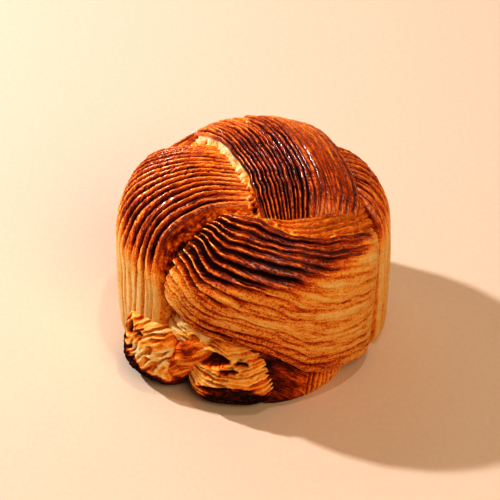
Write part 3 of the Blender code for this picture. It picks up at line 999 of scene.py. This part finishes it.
Stub(
    "left_tail",
    middle=(-22.8, -19.5, 10.0),
    facing=222,
    tilt=12,
    lean=0,
    reach=16.9,
    width=12.6,
    height=12.6,
    cells=(3.4, 1.8),
    lie=42,
    sag=0.1,
    relief=2.2,
    holes=((-0.34, 0.36, 0.12, 0.15, 2.0), (-0.04, 0.45, 0.12, 0.06, 1.6)),
    bakes=(0.02, 0.38, 0.90, 0.97),
    stir=2.2,
    rim=(0.52, 0.86),
    burnt=(-0.10, -0.38),
    slant=0.6,
    seed=5.5,
).make()

Stub(
    "front_tail",
    middle=(-4.7, -26, 10.2),
    facing=261,
    tilt=21,
    lean=4,
    reach=18,
    width=14.4,
    height=15.0,
    cells=(8.0, 1.2),
    lie=-6,
    sag=0.30,
    relief=1.3,
    holes=((-0.34, 0.18, 0.34, 0.13, 3.4), (0.24, 0.10, 0.15, 0.05, 2.6),
           (-0.02, -0.04, 0.20, 0.06, 1.6), (-0.30, -0.42, 0.34, 0.06, 2.6)),
    bakes=(0.10, 0.46, 0.24, 0.98),
    rim=(0.64, 0.96),
    seed=9.1,
).make()

Stub(
    "fold",
    middle=(-20.0, -29.2, 11.6),
    facing=240,
    tilt=0,
    lean=-40,
    reach=7.7,
    width=5.2,
    height=14.0,
    cells=(9.0, 2.5),
    lie=70,
    sag=0.0,
    relief=0.25,
    holes=(),
    bakes=(0.44, 0.60, 0.16, 0.5),
    seed=2.2,
    segments=(60, 120),
).make()

Stub(
    "crumb_pocket",
    middle=(-14.3, -26.0, 21.2),
    facing=236,
    tilt=15,
    lean=-35,
    reach=10.2,
    width=9,
    height=9,
    cells=(3.0, 1.6),
    lie=20,
    sag=0.0,
    relief=1.5,
    holes=((0.30, 0.10, 0.16, 0.13, 2.0), (-0.30, 0.30, 0.13, 0.11, 1.8)),
    bakes=(0.06, 0.26, 0.06, 0.15),
    seed=7.7,
    segments=(110, 90),
).make()


# The studio: a plain pale table, with four lamps over it. A small cool-white key stands high behind the
# left shoulder, a broad warm one at the front right, a weak sky behind and a small one overhead. The
# camera is at the photograph's angle, 40 degrees down.
TABLE_COLOUR = (0.76, 0.62, 0.51)
TABLE_HALF = 3
table_shape = bmesh.new()
bmesh.ops.create_grid(table_shape, x_segments=1, y_segments=1, size=TABLE_HALF)
floor = bpy.data.objects.new("floor", mesh_from(table_shape))
bpy.context.scene.collection.objects.link(floor)
table, table_shader, table_place = start_material("table")
mottle = table_place.noise(600, 3)
table_stops = [(0.3, tuple(0.96 * part for part in TABLE_COLOUR)), (0.7, TABLE_COLOUR)]
feed(table_shader, "Base Color", mottle.node("ShaderNodeValToRGB", {"stops": table_stops}, {"Fac": mottle}))
table_shader.inputs["Roughness"].default_value = 0.85
floor.data.materials.append(table)

LOAF_MIDDLE = (0, 0, 0.03)
COOL_WHITE = (0.94, 0.96, 1.0)


def lamp(name, place, energy, size, colour):
    """A square lamp at that place, in watts and metres, turned to the middle of the cruffin."""
    light = bpy.data.lights.new(name, "AREA")
    light.energy = energy
    light.size = size
    light.color = colour
    holder = bpy.data.objects.new(name, light)
    holder.location = place
    holder.rotation_mode = "QUATERNION"
    holder.rotation_quaternion = (Vector(LOAF_MIDDLE) - Vector(place)).to_track_quat("-Z", "Y")
    bpy.context.scene.collection.objects.link(holder)


lamp("key", (-0.655, 0.305, 0.61), 9.5, 0.04, COOL_WHITE)
lamp("soft", (0.64, -1.12, 1.25), 17.5, 1.0, (1.0, 0.75, 0.46))
lamp("sky", (-0.22, 0.66, 0.60), 0.8, 0.5, COOL_WHITE)
lamp("top", (0.14, -0.06, 1.0), 1.5, 0.04, (1.0, 0.94, 0.88))
world = bpy.data.worlds.new("studio")
world.use_nodes = True
world.node_tree.nodes["Background"].inputs["Color"].default_value = (1.0, 0.71, 0.48, 1)
world.node_tree.nodes["Background"].inputs["Strength"].default_value = 0.28
bpy.context.scene.world = world
bpy.context.scene.view_settings.view_transform = "Standard"
bpy.context.scene.view_settings.gamma = 0.75

CAMERA_TARGET = Vector((-1 * MM, 0, 27 * MM))
CAMERA_DISTANCE = 0.7
CAMERA_HEIGHT_ANGLE = math.radians(40)
PIXELS_PER_METRE = 3300
FRAME_PIXELS = 500
SENSOR = 36
back = Vector((0, -math.cos(CAMERA_HEIGHT_ANGLE), math.sin(CAMERA_HEIGHT_ANGLE)))
camera = bpy.data.objects.new("camera", bpy.data.cameras.new("camera"))
camera.data.sensor_width = SENSOR
camera.data.lens = PIXELS_PER_METRE * CAMERA_DISTANCE / FRAME_PIXELS * SENSOR
camera.location = CAMERA_TARGET + back * CAMERA_DISTANCE
camera.rotation_mode = "QUATERNION"
camera.rotation_quaternion = (-back).to_track_quat("-Z", "Y")
bpy.context.scene.collection.objects.link(camera)
bpy.context.scene.camera = camera
